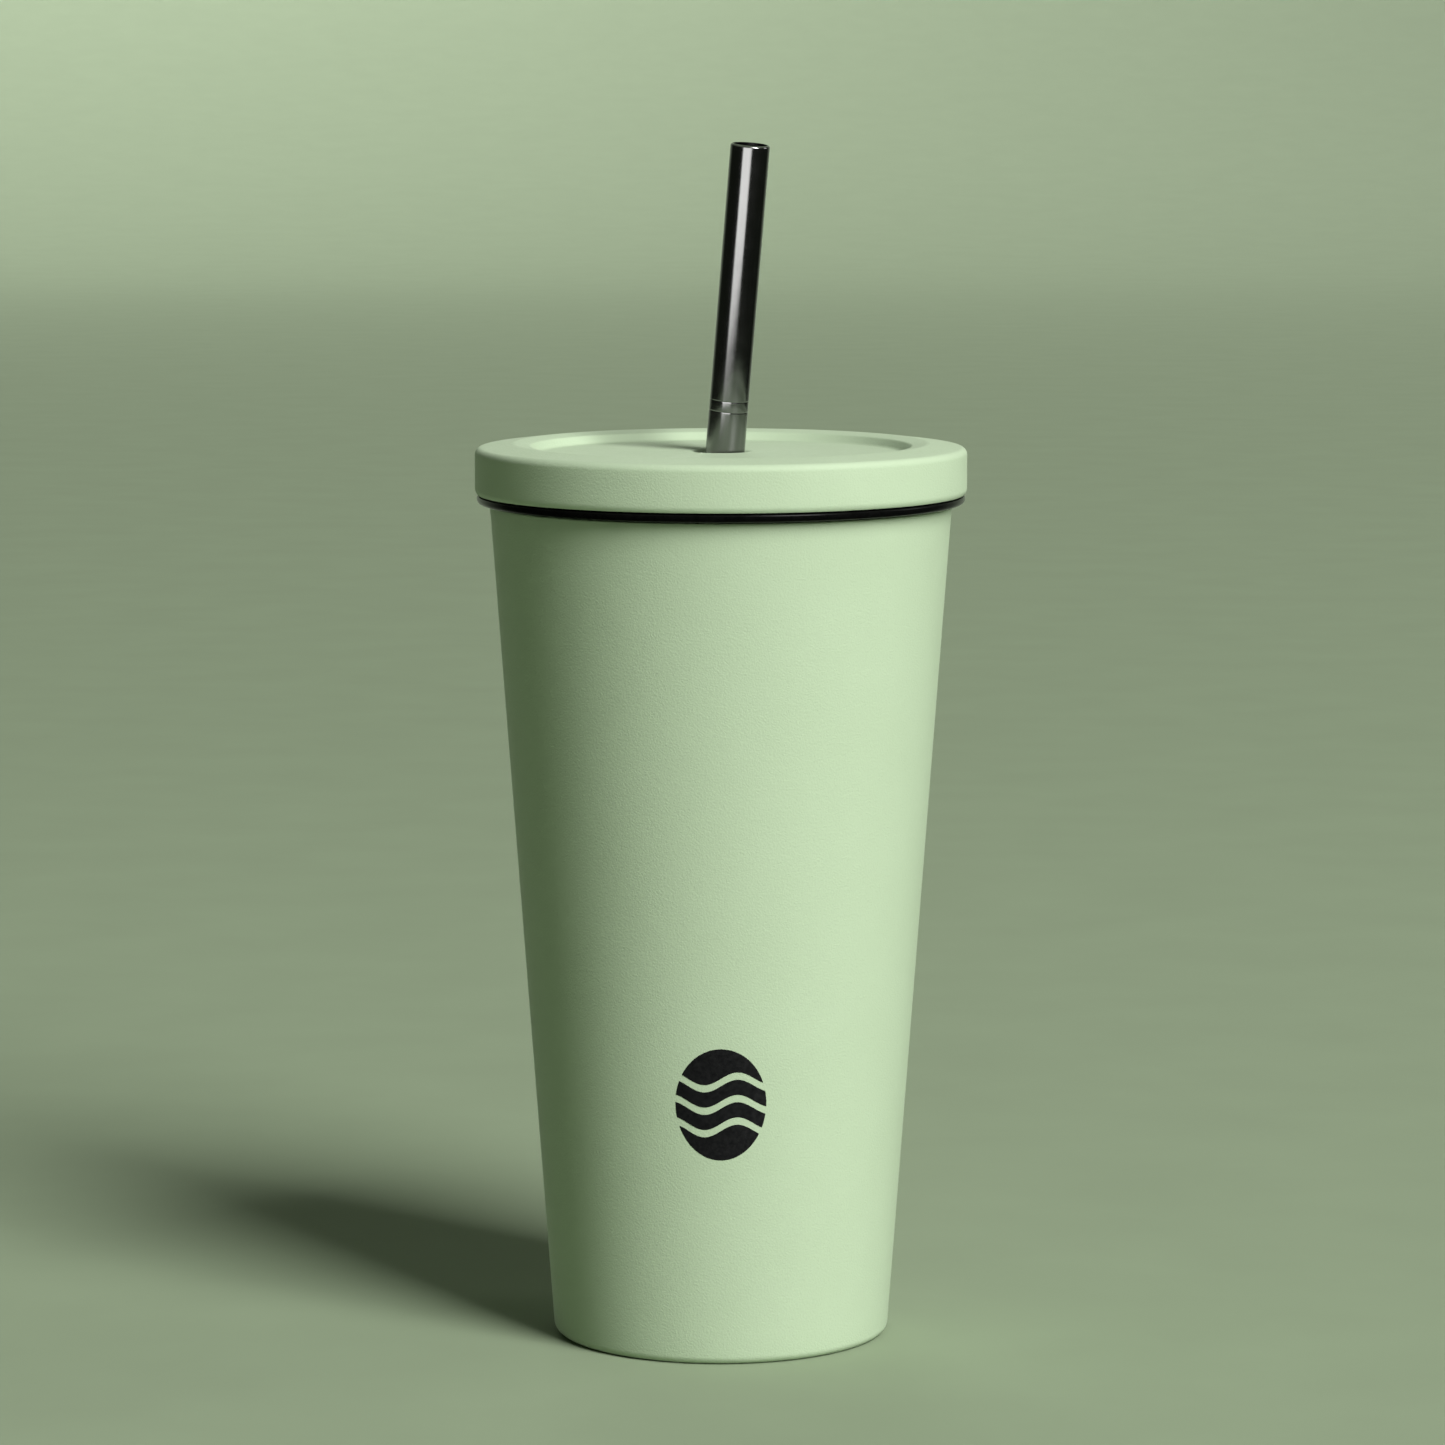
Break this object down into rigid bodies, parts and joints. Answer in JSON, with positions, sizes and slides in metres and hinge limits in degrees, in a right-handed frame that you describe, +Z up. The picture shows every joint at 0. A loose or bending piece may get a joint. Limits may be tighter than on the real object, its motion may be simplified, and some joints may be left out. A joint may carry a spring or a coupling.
{
  "type": "insulated travel mug",
  "caption": "Tapered double-walled travel mug with a flat push-in lid, a dark sealing flange and a leaning metal drinking straw.",
  "frame": {"origin": "centre of the foot's underside, on the mug's axis", "axes": "+Z up along the mug's axis, -Y towards the front, +X to the right seen from the front"},
  "size_m": [0.0996, 0.0996, 0.243],
  "materials": {
    "green_powder_coat": "fine-textured matte powder coat",
    "green_lid_coat": "fine-textured matte powder coat",
    "brushed_liner_steel": "brushed round the axis",
    "brushed_base_steel": "spun",
    "plain_pan_steel": "plain rolled",
    "plain_tray_steel": "plain rolled",
    "aluminium_foil": "bright foil",
    "solder_glass": "fused drop",
    "sintered_getter": "porous",
    "black_plastic": "satin moulded",
    "black_silicone": "matte",
    "dark_straw_metal": "dark vapour-deposited coating on steel"
  },
  "bodies": {
    "cup": {"outer_shell": "green_powder_coat", "liner": "brushed_liner_steel", "foil_wrap": "aluminium_foil", "vacuum_base": "plain_pan_steel", "seal_bead": "solder_glass", "base_cover": "brushed_base_steel", "getter_tray": "plain_tray_steel", "getter_pellet": "sintered_getter"},
    "lid": {"lid_cover": "green_lid_coat", "lid_plug": "black_plastic", "lid_seal": "black_silicone"},
    "straw": {"straw_tube": "dark_straw_metal"}
  },
  "joints": [
    {"name": "lid_lift", "type": "slide", "parent": "cup", "child": "lid", "axis": [0, 0, 1], "range_m": [0, 0.2]},
    {"name": "straw_slide", "type": "slide", "parent": "lid", "child": "straw", "axis": [0.0811, -0.0834, 0.9932], "range_m": [0, 0.18]}
  ]
}
